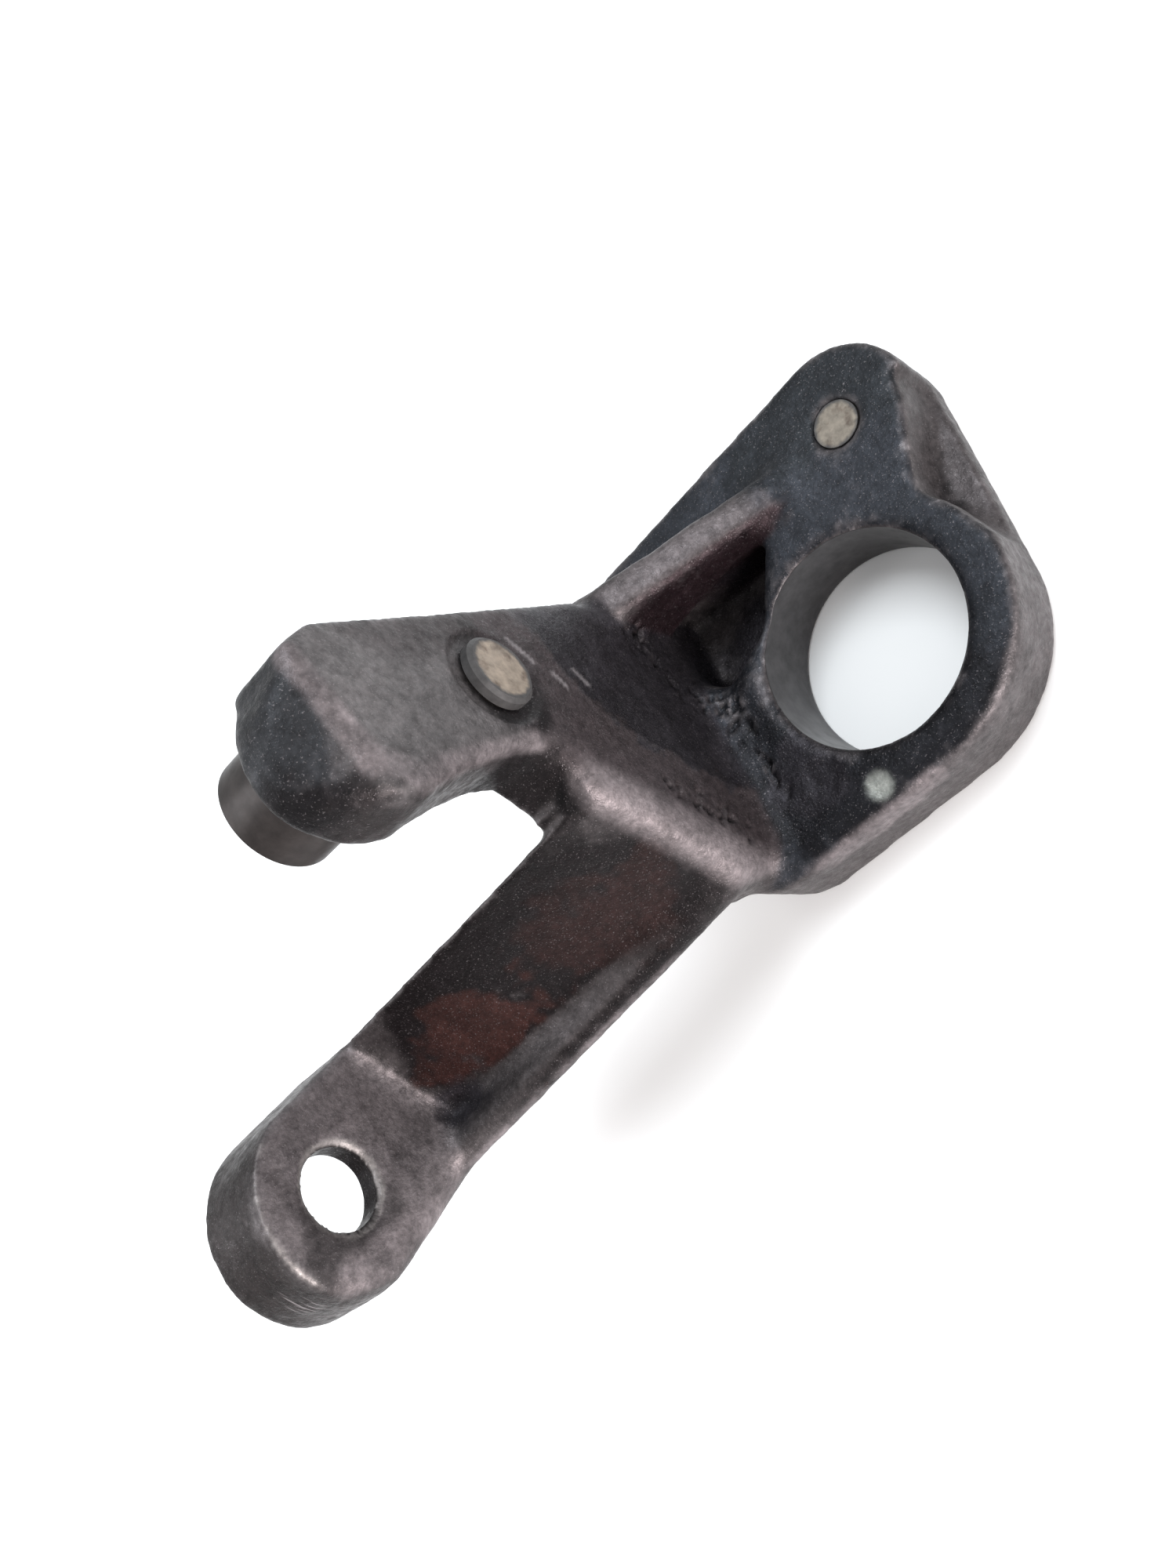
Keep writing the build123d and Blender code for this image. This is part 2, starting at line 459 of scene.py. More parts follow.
@dataclass
class MaterialNodes:
    """Adds and links the nodes of one material.

    Attributes:
        tree: The material's node tree, emptied at the start.
        place: The place on the surface, from which every pattern starts.
    """

    tree: bpy.types.NodeTree
    place: Socket = field(init=False)

    def __post_init__(self) -> None:
        """Empties the tree and adds the place."""
        self.tree.nodes.clear()
        self.place = self.add("ShaderNodeTexCoord").outputs["Object"]

    def add(self, kind: str) -> bpy.types.Node:
        """Adds a node of one kind."""
        return self.tree.nodes.new(kind)

    def feed(self, value: Union[Socket, Colour], socket: Socket) -> None:
        """Links a value to a socket, or sets it there where it is one plain colour.

        Args:
            value: Another node's output, or a linear colour.
            socket: The socket that takes it.
        """
        if isinstance(value, tuple):
            socket.default_value = (*value, 1.0)
        else:
            self.tree.links.new(value, socket)

    def lumps(self, size: float, detail: float, where: Optional[Socket] = None) -> Socket:
        """Adds a noise.

        Args:
            size: The size of its largest lumps, in metres.
            detail: How many layers of finer lumps it has.
            where: The place that it starts from, or None for the surface's own.

        Returns:
            Its value, mostly from 0.3 to 0.7.
        """
        node = self.add("ShaderNodeTexNoise")
        node.inputs["Scale"].default_value = 1.0 / size
        node.inputs["Detail"].default_value = detail
        node.inputs["Roughness"].default_value = 0.6
        self.feed(self.place if where is None else where, node.inputs["Vector"])
        return node.outputs["Fac"]

    def times(self, a: Socket, b: Socket) -> Socket:
        """Multiplies two values.

        Args:
            a: One value.
            b: The other.

        Returns:
            Their product.
        """
        node = self.add("ShaderNodeMath")
        node.operation = "MULTIPLY"
        self.feed(a, node.inputs[0])
        self.feed(b, node.inputs[1])
        return node.outputs[0]

    def blend(self, factor: Socket, under: Union[Socket, Colour], over: Colour) -> Socket:
        """Lays one plain colour over another by a factor.

        Args:
            factor: How much of the upper colour shows, from 0 to 1.
            under: The lower colour.
            over: The upper colour.

        Returns:
            The mixed colour.
        """
        node = self.add("ShaderNodeMix")
        node.data_type = "RGBA"
        self.feed(factor, node.inputs["Factor"])
        self.feed(under, node.inputs["A"])
        self.feed(over, node.inputs["B"])
        return node.outputs["Result"]

    def remap(self, value: Socket, span: Span, to: Span) -> Socket:
        """Maps one span of values onto another, clamped.

        Args:
            value: The value.
            span: The span that it comes in.
            to: The span that it leaves in.

        Returns:
            The mapped value.
        """
        node = self.add("ShaderNodeMapRange")
        for key, number in zip(("From Min", "From Max", "To Min", "To Max"), (*span, *to)):
            node.inputs[key].default_value = number
        self.feed(value, node.inputs["Value"])
        return node.outputs["Result"]

    def attribute(self, name: str) -> bpy.types.Node:
        """Reads values that the mesh itself holds.

        Args:
            name: The attribute's name.

        Returns:
            The node that reads them.
        """
        node = self.add("ShaderNodeAttribute")
        node.attribute_name = name
        return node


@dataclass(frozen=True)
class Finish:
    """A metal finish made from nodes.

    Attributes:
        name: The material's name.
        colour: The plain colour, linear. The casting's own paint takes its place where it has one.
        metallic: How metallic the surface is.
        roughness: The mean roughness.
        uneven: How much the roughness varies.
        lump: The size of the skin's lumps, in metres.
        lump_depth: The strength of the lumps' bump.
        mottle: How much the colour varies, as a share.
        glint: How strongly painted glints, bright spots laid into the colour, show on single
            grains.
        specular: How strongly what isn't metallic reflects.
        painted: Whether the colour comes from the mesh's own paint.
        rim: The colour round a pale end, or None where the piece has one colour.
        end_axis: The point that the pale end is centred on, and 0 along the pin, in metres.
        end_radius: The pale end's radius, in metres.
    """

    name: str
    colour: Colour
    metallic: float
    roughness: float
    uneven: float
    lump: float
    lump_depth: float
    mottle: float = 0.28
    glint: float = 0.0
    specular: float = 0.3
    painted: bool = False
    rim: Optional[Colour] = None
    end_axis: Point = (0.0, 0.0, 0.0)
    end_radius: float = 0.0

    def ringed(self, nodes: MaterialNodes, colour: Union[Socket, Colour]) -> Socket:
        """Stains a pin's pale end and lays the rim's colour round it.

        Args:
            nodes: The material's nodes.
            colour: The end's own colour.

        Returns:
            The colour with its stains and rim.
        """
        along = nodes.add("ShaderNodeVectorMath")
        along.operation = "MULTIPLY"
        along.inputs[1].default_value = [1.0 if axis else 0.0 for axis in self.end_axis]
        nodes.feed(nodes.place, along.inputs[0])
        away = nodes.add("ShaderNodeVectorMath")
        away.operation = "DISTANCE"
        away.inputs[1].default_value = self.end_axis
        nodes.feed(along.outputs["Vector"], away.inputs[0])
        ragged = nodes.add("ShaderNodeMath")
        ragged.operation = "MULTIPLY_ADD"
        ragged.inputs[1].default_value = RIM_RAGGED
        nodes.feed(nodes.lumps(RIM_LUMP, 3.0), ragged.inputs[0])
        nodes.feed(away.outputs["Value"], ragged.inputs[2])
        edge = (self.end_radius, self.end_radius + RIM_FADE)
        beyond = nodes.remap(ragged.outputs[0], edge, WHOLE)
        stain = nodes.remap(nodes.lumps(STAIN_LUMP, 4.0), STAIN_SPAN, (0.0, STAIN_STRENGTH))
        return nodes.blend(beyond, nodes.blend(stain, colour, END_STAIN), self.rim)

    def mottled(self, nodes: MaterialNodes, colour: Union[Socket, Colour]) -> Socket:
        """Makes a colour slightly lighter and darker from place to place.

        Args:
            nodes: The material's nodes.
            colour: The colour.

        Returns:
            The mottled colour.
        """
        mix = nodes.add("ShaderNodeMix")
        mix.data_type = "RGBA"
        mix.blend_type = "MULTIPLY"
        mix.inputs["Factor"].default_value = 1.0
        shade = nodes.add("ShaderNodeCombineColor")
        span = (1.0 - self.mottle, 1.0 + self.mottle)
        fine = nodes.remap(nodes.lumps(self.lump * MOTTLE_SIZE, 4.0), NOISE_SPAN, span)
        for channel in ("Red", "Green", "Blue"):
            nodes.feed(fine, shade.inputs[channel])
        nodes.feed(colour, mix.inputs["A"])
        nodes.feed(shade.outputs["Color"], mix.inputs["B"])
        return mix.outputs["Result"]

    def ground(self, nodes: MaterialNodes, colour: Socket) -> Socket:
        """Lays bright grinding marks over a colour where the mesh is scored.

        Args:
            nodes: The material's nodes.
            colour: The colour.

        Returns:
            The colour with its marks.
        """
        long_way = nodes.add("ShaderNodeMapping")
        long_way.inputs["Scale"].default_value = MARK_STRETCH
        nodes.feed(nodes.place, long_way.inputs["Vector"])
        marks = nodes.lumps(MARK_WIDTH, 1.0, long_way.outputs["Vector"])
        streaks = nodes.remap(marks, MARK_SPAN, (0.0, MARK_STRENGTH))
        scored = nodes.attribute(SCORED)
        return nodes.blend(nodes.times(streaks, scored.outputs["Fac"]), colour, STEEL_AND_GLINT_GREY)

    def bumped(self, nodes: MaterialNodes) -> Socket:
        """Adds the bump of the skin's lumps.

        Args:
            nodes: The material's nodes.

        Returns:
            The bumped normal.
        """
        coarse = nodes.add("ShaderNodeBump")
        coarse.inputs["Strength"].default_value = self.lump_depth
        coarse.inputs["Distance"].default_value = BUMP_DISTANCE
        nodes.feed(nodes.lumps(self.lump, 5.0), coarse.inputs["Height"])
        return coarse.outputs["Normal"]

    def build(self) -> bpy.types.Material:
        """Makes the material.

        Returns:
            The material.
        """
        material = bpy.data.materials.new(self.name)
        material.use_nodes = True
        nodes = MaterialNodes(material.node_tree)
        output = nodes.add("ShaderNodeOutputMaterial")
        shader = nodes.add("ShaderNodeBsdfPrincipled")
        nodes.feed(shader.outputs["BSDF"], output.inputs["Surface"])
        shader.inputs["Metallic"].default_value = self.metallic
        shader.inputs["Specular IOR Level"].default_value = self.specular
        paint = nodes.attribute(PAINT) if self.painted else None
        colour = self.colour if paint is None else paint.outputs["Color"]
        if self.rim is not None:
            colour = self.ringed(nodes, colour)
        colour = self.mottled(nodes, colour)
        # Painted glints: bright spots laid into the colour where single grains would catch the
        # light
        if self.glint > 0:
            sparks = nodes.lumps(self.lump * SPARK_SIZE, 1.0)
            spark = nodes.remap(sparks, SPARK_SPAN, (0.0, self.glint))
            colour = nodes.blend(spark, colour, STEEL_AND_GLINT_GREY)
        span = (self.roughness - self.uneven, self.roughness + self.uneven)
        sheen = nodes.remap(nodes.lumps(self.lump * SHEEN_SIZE, 3.0), NOISE_SPAN, span)
        if paint is not None:
            colour = self.ground(nodes, colour)
            sheen = nodes.times(sheen, nodes.remap(paint.outputs["Alpha"], WHOLE, (1.0, OIL_SHEEN)))
        nodes.feed(colour, shader.inputs["Base Color"])
        nodes.feed(sheen, shader.inputs["Roughness"])
        nodes.feed(self.bumped(nodes), shader.inputs["Normal"])
        return material


# Values that every finish shares. Sizes are shares of a finish's lumps unless they are in MM.
WHOLE: Span = (0.0, 1.0)
NOISE_SPAN: Span = (0.3, 0.7)
MOTTLE_SIZE = 1.6
SPARK_SIZE = 0.5
SPARK_SPAN: Span = (0.64, 0.74)
SHEEN_SIZE = 2.5
OIL_SHEEN = 0.72
BUMP_DISTANCE = 0.12 * MM
RIM_RAGGED = 1.1 * MM
RIM_LUMP = 1.5 * MM
RIM_FADE = 0.5 * MM
STAIN_LUMP = 2.2 * MM
STAIN_SPAN: Span = (0.5, 0.68)
STAIN_STRENGTH = 0.75
MARK_STRETCH: Point = (1.0, 0.08, 0.08)
MARK_WIDTH = 0.4 * MM
MARK_SPAN: Span = (0.58, 0.68)
MARK_STRENGTH = 0.55

# Names of the values that the casting's mesh holds
PAINT = "paint"
SCORED = "scored"

# Paint of the casting, linear
# Dark flange and ring tops, their blue tint a painted reflection of the cool light above
BLUE_GREY: Colour = (0.020, 0.022, 0.027)
EAR_GREY: Colour = (0.016, 0.018, 0.021)
RING_BLACK: Colour = (0.008, 0.008, 0.010)
MAUVE_GREY: Colour = (0.052, 0.046, 0.047)
ARM_GREY: Colour = (0.084, 0.078, 0.079)
FOOT_GREY: Colour = (0.112, 0.098, 0.101)
# Painted light on faces and edges turned to the lamps
LIT_GREY: Colour = (0.085, 0.076, 0.078)
# Painted highlight on ridges and rounded edges
HIGHLIGHT_GREY: Colour = (0.150, 0.130, 0.134)
# Oily dirt, and painted shade in the hollow beside the rib
OIL_AND_SHADE_BLACK: Colour = (0.022, 0.020, 0.024)
SEAM_BROWN: Colour = (0.050, 0.040, 0.042)
# Painted shade on the rib's low side
RIB_SHADE_BROWN: Colour = (0.015, 0.008, 0.010)
# Painted shade on the nose's end, the long arm's down-facing face, the crotch and the eye's wall
SHADE_BROWN: Colour = (0.004, 0.0025, 0.003)
FOOT_BROWN: Colour = (0.020, 0.016, 0.016)
LIP_GREY: Colour = (0.20, 0.185, 0.18)
RUST_BROWN: Colour = (0.034, 0.013, 0.011)
# Bare steel of scratches, grinding marks and worn edges, and painted glints
STEEL_AND_GLINT_GREY: Colour = (0.36, 0.33, 0.34)
PALE_NICK: Colour = (0.26, 0.27, 0.25)
# Painted shade in the hollow corners, the pits and the crotch's crevice, and a painted shadow round
# the stud
SHADE_BLACK: Colour = (0.002, 0.0015, 0.002)
END_STAIN: Colour = (0.06, 0.04, 0.03)
PIN_RIM: Colour = (0.050, 0.048, 0.048)


def middle(node: str) -> Point:
    """Gives the middle of a CAD node's box, in metres."""
    low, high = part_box(node)
    return tuple((a + b) / 2 for a, b in zip(low, high))


STUD = middle("arm_stud")
PLUG = middle("ear_plug")

CAST_SKIN = Finish(
    "cast_skin", MAUVE_GREY, metallic=0.55, roughness=0.44, uneven=0.13,
    lump=0.45 * MM, lump_depth=0.9, glint=0.22, specular=0.20, painted=True,
)
MACHINED = Finish(
    "machined_bore", (0.062, 0.059, 0.061), metallic=0.75, roughness=0.36, uneven=0.06,
    lump=1.4 * MM, lump_depth=0.10,
)
TURNED = Finish(
    "turned_pin", (0.032, 0.027, 0.026), metallic=0.6, roughness=0.42, uneven=0.08,
    lump=1.2 * MM, lump_depth=0.15,
)
STUD_END = Finish(
    "pale_stud_end", (0.21, 0.175, 0.14), metallic=0.2, roughness=0.5, uneven=0.12,
    lump=0.8 * MM, lump_depth=0.5,
    rim=PIN_RIM, end_axis=(0.0, STUD[1], STUD[2]), end_radius=4.0 * MM,
)
PLUG_END = Finish(
    "pale_plug_end", (0.165, 0.145, 0.12), metallic=0.2, roughness=0.5, uneven=0.12,
    lump=0.8 * MM, lump_depth=0.5,
    rim=PIN_RIM, end_axis=(PLUG[0], PLUG[1], 0.0), end_radius=3.2 * MM,
)
FLOOR = Finish(
    "pale_floor", (0.9, 0.9, 0.9), metallic=0.0, roughness=0.8, uneven=0.02,
    lump=40 * MM, lump_depth=0.0, mottle=0.01,
)

# Painted shade in the hollow corners, wear with painted highlights on the proud edges, and a
# painted highlight along the foot's front edge
SHADED_CORNERS = CrownCoat(SHADE_BLACK, 0.85, (-0.3, -1.5), (0.2, 0.0, 0.0))
RUBBED_AND_LIT_EDGES = CrownCoat(LIT_GREY, 0.7, (0.05, 0.22), (0.05, 0.06, 0.0))
BARE_AND_GLINTING_EDGES = CrownCoat(STEEL_AND_GLINT_GREY, 0.5, (0.20, 0.38), (0.10, 0.0, 0.08))
FOOT_EDGE_HIGHLIGHT = CrownCoat(LIP_GREY, 0.9, (0.10, 0.22), (0.03, 0.0, 0.0))


@dataclass
class Casting:
    """The one-piece casting: flange, ring, ear, wall, rib, arms and foot.

    Attributes:
        node: The CAD node that it stands for.
        voxel: The size of its faces.
        bore_radius: The ring's bore.
        ring_top: The height of the ring.
        wall_x: The front of the upright wall.
        foot_x: The front of the foot.
        eye: The (y, z) place of the eye.
        eye_radius: The eye's radius.
        eye_depth: The depth of the eye's wall behind the foot's front.
        pocket_wall: How far round the eye the wall of the pocket behind it reaches.
        stud: The (y, z) place of the stud.
        seam_y: The seam's places across the wall, in millimetres, for the heights of seam_z.
        seam_z: The heights of the seam's bends, in millimetres.
        soft_edges: The edges that the foundry left rounder than the rest.
        soft_corners: The hollow corners with a wide blend.
        dents: The nicks and hollows.
        pitted: Where the skin has small open pits.
        patches: The patches of colour, the lowest first.
        scored: Where the skin has grinding marks.
        scratches: Bright scratches.
        edge_highlights: Rounded edges with a painted highlight.
        ridge_highlight: The ridge where the long arm leaves the wall, with a painted highlight.
        overall_rounds: How often the whole skin is rounded before and after the corners are filled.
        fill_rounds: How often every hollow corner is filled.
        wall_band: How near to a round wall a point lies to be set back to round, in millimetres.
        bore_foot: How high above the underside the bore's wall starts, in millimetres.
        eye_back: How far in front of its back the eye's wall ends, in millimetres.
        rest_band: The heights between which the lumps start above the underside, in metres.
        seam_width: The seam's half width, in millimetres.
        seam_height: How far the seam stands proud, in millimetres.
        seam_top: The height where the seam fades out, in millimetres.
        seam_shares: How much the clouds, the blotches and the flecks break the seam's colour up.
        spot_edge: The radii between which the spot face round the stud starts, in metres.
        spot_top: The height up to which the spot face is sunk, in millimetres.
        sunk: The depth of the spot face and of the pits, in millimetres.
        pit_span: The random values between which a pit opens.
        proud_rounds: How wide an area says what stands proud.
        deep_rounds: How wide an area says what sits deep.
        foot_edge: How far behind and before the foot's front its painted highlight reaches, in
            millimetres.
        foot_edge_rise: The least height less Y of that edge, in millimetres.
        eye_lip: The radii between which the eye's bright lip fades, in millimetres.
        eye_lip_inside: The lip's inner radius, in millimetres.
        eye_dark: The radii between which the painted shade on the eye's wall fades, in millimetres.
        eye_dark_back: Where that painted shade ends along X, in millimetres.
        nick_low: The height above which the pale nick shows, in millimetres.
    """

    node: str = "bracket_casting"
    voxel: float = 0.45 * MM
    bore_radius: float = 14.4 * MM
    ring_top: float = 13.0 * MM
    wall_x: float = -24.0 * MM
    foot_x: float = -84.0 * MM
    eye: tuple[float, float] = (-32.0 * MM, 49.8 * MM)
    eye_radius: float = 5.7 * MM
    eye_depth: float = 4.2 * MM
    pocket_wall: float = 11.8 * MM
    stud: tuple[float, float] = (STUD[1], STUD[2])
    seam_y: tuple[float, ...] = (-8.5, -3.3, 1.8, 9.1, 14.5)
    seam_z: tuple[float, ...] = (13.3, 26.9, 37.9, 42.4, 45.7)
    soft_edges: tuple[Stretch, ...] = (
        Stretch((-24, -9, 66), (-24, -3.5, 50.5), 4.5, 70),
        Stretch((-24, -9.1, 46.1), (-24, -20.6, 18.4), 6, 140),
        Stretch((-84, -44, 51), (-84, -35, 31), 6, 120),
        Stretch((-30, -20, 20), (-84, -34, 30), 7.5, 130),
        Stretch((-28, -12, 74), (-28, 2, 86), 8, 22),
        Stretch((-35, -12.5, 75), (-35, 3, 85), 5, 30),
        Stretch((6, 22.5, 13), (-24, 18, 29.5), 3.5, 45),
        Stretch((6, 28, 13), (-24, 24.6, 29.5), 3.5, 45),
        Stretch((-3.6, 21.6, 13), (-11.2, 11, 13), 2.5, 40),
        Stretch((-11.2, 11, 13), (-19.5, 7, 13), 3.5, 70),
        Stretch((-22, -20, 13), (0, -20.6, 13), 4.5, 70),
        Stretch((0, -20.6, 13), (14.6, -14.6, 13), 3.5, 40),
    )
    soft_corners: tuple[Stretch, ...] = (
        Stretch((-24, -19, 13), (-24, 8, 13), 6, 160),
        Stretch((-24, 18, 29), (-24, 18, 5), 5, 90),
        Stretch((-28, -19, 20), (-84, -31, 27), 5, 120),
        Stretch((6, 22.3, 13), (-4, 21.6, 13), 5, 90),
        Stretch((-84, -30, 24), (-84, -13, 42), 4, 60),
    )
    dents: tuple[Dent, ...] = (
        Dent((-7.6, -17.8, 13.0), 2.4, 0.35),
        Dent((-24.0, 19.5, 13.5), 1.4, 0.9),
        Dent((-28.0, -9.5, 46.0), 2.4, 0.5),
        Dent((-13.5, -12.4, 13.0), 3.5, 0.25),
    )
    pitted: tuple[Stretch, ...] = (
        Stretch((-24, 17, 22), (-21, 4, 13), 3.0),
        Stretch((-21, 4, 13), (-19, -10, 13), 2.0),
        Stretch((-24, -8, 30), (-24, -14, 18), 2.6),
    )
    patches: tuple[Patch, ...] = (
        # The wall, the short arm and its nose
        Patch(ARM_GREY, (-24, 1, 66), (8, 18, 20), Facing.FRONT, 1.0, 0.1),
        Patch(FOOT_BROWN, (-24, 14, 60), (8, 5, 26), Facing.ANY, 0.7, 0.3),
        Patch(SEAM_BROWN, (-24, 5, 49), (4, 16, 6), Facing.FRONT, 0.8, 0.4),
        Patch(MAUVE_GREY, (-24, 11, 68), (4, 7, 10), Facing.FRONT, 0.75, 0.3),
        Patch(MAUVE_GREY, (-24, -4, 20), (4, 10, 8), Facing.FRONT, 0.4, 0.5),
        Patch(EAR_GREY, (-31, -5, 85), (9, 14, 7.5), Facing.ANY, 0.85, 0.2),
        # Painted shade on the nose's end, which faces down
        Patch(SHADE_BROWN, (-33, -11, 78), (8, 7, 8), Facing.ANY, 0.75, 0.4),
        Patch(FOOT_BROWN, (-30, -10, 64), (9, 6, 14), Facing.LOW_SIDE, 0.8, 0.3),
        # The flange, the ring and the ear
        # Dark tops, tinted blue as a painted reflection of the cool light above
        Patch(BLUE_GREY, (2, 4, 13), (44, 48, 4), Facing.UP, 1.0, 0.0),
        Patch(EAR_GREY, (12.6, 30, 13), (16, 10, 4), Facing.UP, 0.9, 0.5, 0.4),
        Patch(RING_BLACK, (-4, -15, 13), (17, 7, 4), Facing.UP, 0.9, 0.5, 0.8),
        Patch(RING_BLACK, (-18, -4, 14), (7, 15, 6), Facing.ANY, 0.9, 0.4, 0.9),
        # Painted light on the ring's side that faces the low lamp, eased back to the base grey
        # lower down
        Patch(LIT_GREY, (14, -14, 7), (22, 16, 10), Facing.RING_SIDE, 0.9, 0.2),
        Patch(MAUVE_GREY, (0, -20, 4), (17, 6, 7), Facing.RING_SIDE, 0.8, 0.3),
        Patch(OIL_AND_SHADE_BLACK, (-14, -10, 13), (6, 5, 4), Facing.UP, 0.8, 0.5, 1.0),
        # Painted highlight along the flange's rounded top edge
        Patch(HIGHLIGHT_GREY, (-10, -20.5, 11), (12, 4, 4), Facing.RING_SIDE, 0.75, 0.4),
        # The rib and the hollow beside it
        # Painted highlight along the rib's ridge
        Patch(HIGHLIGHT_GREY, (-9, 21, 22), (17, 5, 9), Facing.UP, 0.45, 0.5),
        # Painted shade on the rib's low side
        Patch(RIB_SHADE_BROWN, (-12, 19.5, 14), (20, 4.0, 12), Facing.LOW_SIDE, 0.95, 0.25, 0.3),
        # Painted shade in the deep hollow beside the rib
        Patch(OIL_AND_SHADE_BLACK, (-15, 14, 8), (12, 9, 4.5), Facing.ANY, 0.95, 0.3, 0.6),
        # The long arm and its foot
        Patch(FOOT_GREY, (-84, -31, 48), (4, 24, 27), Facing.FRONT, 1.0, 0.1),
        Patch(MAUVE_GREY, (-84, -41, 49), (4, 9, 13), Facing.FRONT, 0.9, 0.5),
        # Painted shade on the long arm's face, which looks down, away from the light
        Patch(SHADE_BROWN, (-50, -18, 34), (36, 14, 20), Facing.LOW_SIDE, 0.95, 0.2, 0.4),
        Patch(RUST_BROWN, (-66, -20, 32), (13, 8, 7), Facing.LOW_SIDE, 0.85, 0.5),
        Patch(RUST_BROWN, (-42, -16, 31), (13, 8, 9), Facing.LOW_SIDE, 0.35, 0.5),
        Patch(OIL_AND_SHADE_BLACK, (-82, -26, 25), (10, 7, 6), Facing.ANY, 0.9, 0.3),
        # Painted shade in the crotch between the arms
        Patch(SHADE_BROWN, (-30, -6, 49), (8, 6, 9), Facing.LOW_SIDE, 0.9, 0.3),
        # Painted shade in the crevice at the crotch
        Patch(SHADE_BLACK, (-27.5, -9.0, 46), (3.6, 2.6, 1.8), Facing.ANY, 0.9, 0.3),
        # Painted shadow round the stud
        Patch(SHADE_BLACK, (-24, 3.2, 53.8), (2, 6.6, 6.4), Facing.FRONT, 0.8, 0.15),
        Patch(FOOT_BROWN, (-92, -36, 58), (7.5, 22, 24), Facing.ANY, 0.85, 0.2),
    )
    scored: tuple[Stretch, ...] = (
        Stretch((-90, -44, 57), (-90, -44, 50), 3.4),
    )
    scratches: tuple[Stretch, ...] = (
        Stretch((-24, 8.6, 39.4), (-24, 6.6, 38.0), 0.5),
        Stretch((-24, 7.2, 44.0), (-24, 5.6, 42.6), 0.5),
        Stretch((-24, 11.5, 50.0), (-24, 8.5, 47.0), 0.45),
    )
    # Rounded edges that get a painted highlight
    edge_highlights: tuple[Stretch, ...] = (
        Stretch((-24.3, -10.4, 72), (-24.8, -8.5, 77.5), 1.9),
        Stretch((-24.8, -8.5, 77.5), (-25, 4.5, 83.8), 1.6),
        Stretch((-24.5, -9.5, 70), (-24.5, -4, 52), 2.2),
        Stretch((-84.5, -43.5, 52), (-84.5, -38, 36), 3.0),
        Stretch((-40, -25, 22), (-82, -34, 28), 1.6),
    )
    ridge_highlight: Stretch = Stretch((-24, -9.5, 45), (-24, -20, 18.5), 4.4)
    overall_rounds: tuple[int, int] = (7, 4)
    fill_rounds: int = 30
    wall_band: float = 0.7
    bore_foot: float = 0.3
    eye_back: float = 0.4
    rest_band: Span = (0.2 * MM, 1.0 * MM)
    seam_width: float = 0.8
    seam_height: float = 0.16
    seam_top: float = 45.0
    seam_shares: tuple[float, float, float] = (1.6, 1.8, 1.0)
    spot_edge: Span = (6.8 * MM, 6.0 * MM)
    spot_top: float = 70.0
    sunk: float = 0.45
    pit_span: Span = (0.16, 0.34)
    proud_rounds: int = 10
    deep_rounds: int = 160
    foot_edge: Span = (1.6, 1.0)
    foot_edge_rise: float = 84.0
    eye_lip: Span = (6.8, 6.4)
    eye_lip_inside: float = 5.6
    eye_dark: Span = (5.95, 5.8)
    eye_dark_back: float = -90.0
    nick_low: float = 11.0

    def round_off(self, skin: SkinMesh) -> None:
        """Rounds every edge a little and the soft ones more, and fills the hollow corners.

        Args:
            skin: The casting's mesh, which is changed.
        """
        before, after = self.overall_rounds
        everywhere = np.ones(len(skin.points))
        skin.relax(everywhere, before)
        for edge in self.soft_edges:
            skin.relax(edge.weight(skin.points), edge.rounds)
        skin.relax(everywhere, self.fill_rounds, fill_only=True)
        for corner in self.soft_corners:
            skin.relax(corner.weight(skin.points), corner.rounds, fill_only=True)
        skin.relax(everywhere, after)

    def true_up(self, skin: SkinMesh) -> Array:
        """Sets the walls of the bore and of the eye back to round.

        Args:
            skin: The casting's mesh, which is changed.

        Returns:
            1 on the machined bore and 0 elsewhere, for each point.
        """
        p = skin.points
        near = self.wall_band * MM
        bore = np.hypot(p[:, 0], p[:, 1])
        in_bore = (np.abs(bore - self.bore_radius) < near) & (p[:, 2] < self.ring_top - near)
        in_bore &= p[:, 2] > self.bore_foot * MM
        p[in_bore, :2] *= (self.bore_radius / bore[in_bore])[:, None]
        centre = np.array(self.eye)
        offset = p[:, 1:] - centre
        eye = np.linalg.norm(offset, axis=1)
        in_eye = (np.abs(eye - self.eye_radius) < near) & (p[:, 0] < self.foot_x - near)
        in_eye &= p[:, 0] > self.foot_x - self.eye_depth + self.eye_back * MM
        p[in_eye, 1:] = centre + offset[in_eye] * (self.eye_radius / eye[in_eye])[:, None]
        return in_bore.astype(float)

    def seam_offset(self, skin: SkinMesh) -> Array:
        """Says how far each point lies to the rib's side of the wall's seam, in millimetres."""
        return skin.points[:, 1] / MM - np.interp(skin.points[:, 2] / MM, self.seam_z, self.seam_y)

    def on_wall(self, skin: SkinMesh, top: float) -> Array:
        """Marks the front of the upright wall.

        Args:
            skin: The casting's mesh.
            top: The height where the mark fades out, in millimetres.

        Returns:
            1 on the wall's front below that height and 0 elsewhere, for each point.
        """
        fade = 4.0
        near_front: Span = (2.5, 1.0)
        turned: Span = (0.4, 0.8)
        depth = np.abs(skin.points[:, 0] - self.wall_x) / MM
        low = smooth_step(top + fade, top - fade, skin.points[:, 2] / MM)
        return smooth_step(*near_front, depth) * low * smooth_step(*turned, skin.normals()[:, 0])

    def pits(self, skin: SkinMesh) -> Array:
        """Marks the skin's small open pits.

        Args:
            skin: The casting's mesh.

        Returns:
            1 in a pit and 0 between them, for each point.
        """
        fewer = 0.12
        area = np.max([stretch.weight(skin.points) for stretch in self.pitted], axis=0)
        return smooth_step(*self.pit_span, OPEN_PITS.at(skin.points) + fewer * (area - 1.0)) * area

